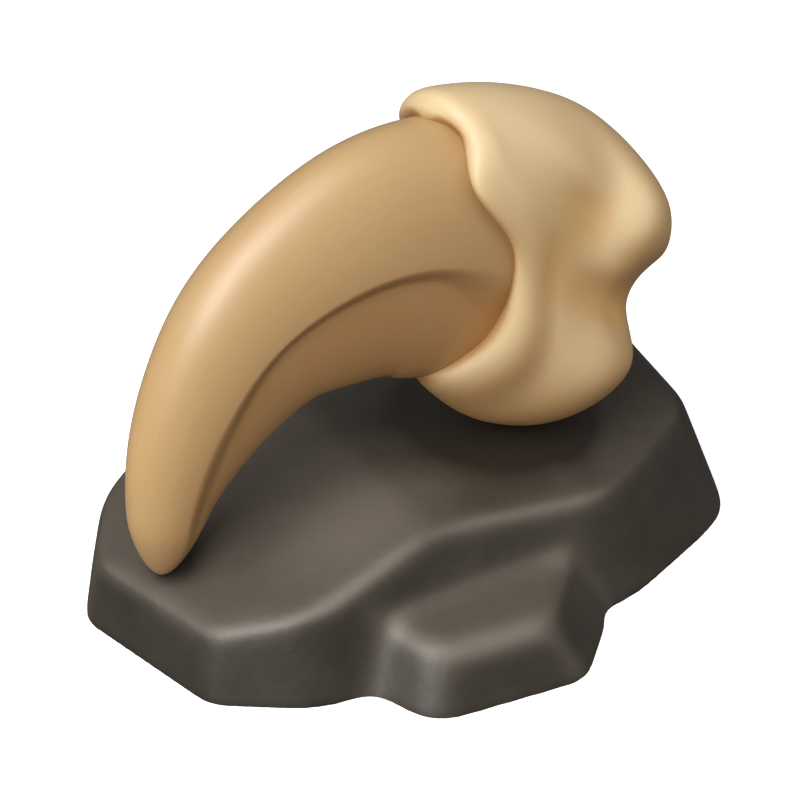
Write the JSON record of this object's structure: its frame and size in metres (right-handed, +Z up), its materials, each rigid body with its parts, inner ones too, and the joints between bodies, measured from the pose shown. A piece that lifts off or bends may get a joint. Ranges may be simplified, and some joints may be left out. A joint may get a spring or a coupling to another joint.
{
  "type": "fossil raptor claw",
  "caption": "Hooked fossil claw, a grooved brown horn blade set in a pale bone base, arching over the worn dark rock it stands on.",
  "frame": {"origin": "the middle of the whole seen from above, at the rock's flat underside", "axes": "+X from the claw's tip towards its bone, +Y across the rock away from its front ledge, +Z up"},
  "size_m": [0.135, 0.0965, 0.1015],
  "materials": {
    "blade": "satin, warm brown with fine streaks along the blade",
    "bone": "satin, cream with fine grain and brown in the hollows",
    "rock": "matt, dark grey-brown with worn paler edges"
  },
  "bodies": {
    "root": {"claw_blade": "blade", "claw_bone": "bone", "rock": "rock"}
  },
  "joints": []
}
